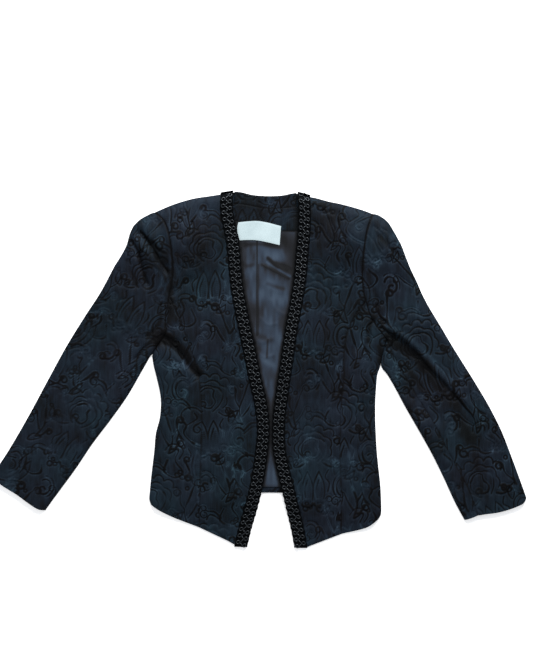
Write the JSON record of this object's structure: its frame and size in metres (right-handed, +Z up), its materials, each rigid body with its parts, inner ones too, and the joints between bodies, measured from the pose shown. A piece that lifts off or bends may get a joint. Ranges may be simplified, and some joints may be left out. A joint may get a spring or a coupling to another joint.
{
  "type": "open-front cropped blazer",
  "caption": "Open-front collarless jacket in raised brocade with looped braid edges and pointed front hems, laid flat on its back.",
  "frame": {"origin": "on the surface the jacket lies on, below the middle of its bounding box", "axes": "+X across the sleeves towards the wearer's left, +Y from the hem towards the neck, +Z up from the surface out of the fronts"},
  "size_m": [1.0169, 0.6786, 0.0211],
  "materials": {
    "brocade": "raised matte and satin pattern",
    "lining": "satin",
    "braid": "lustrous cord",
    "label": "plain woven"
  },
  "bodies": {
    "root": {"back": "brocade", "back_neck_band": "brocade", "back_neck_facing": "brocade", "front_right": "brocade", "side_front_right": "brocade", "front_left": "brocade", "side_front_left": "brocade", "sleeve_upper_right": "brocade", "sleeve_under_right": "brocade", "sleeve_upper_left": "brocade", "sleeve_under_left": "brocade", "back_lining": "lining", "braid_right": "braid", "braid_left": "braid", "label": "label"}
  },
  "joints": []
}
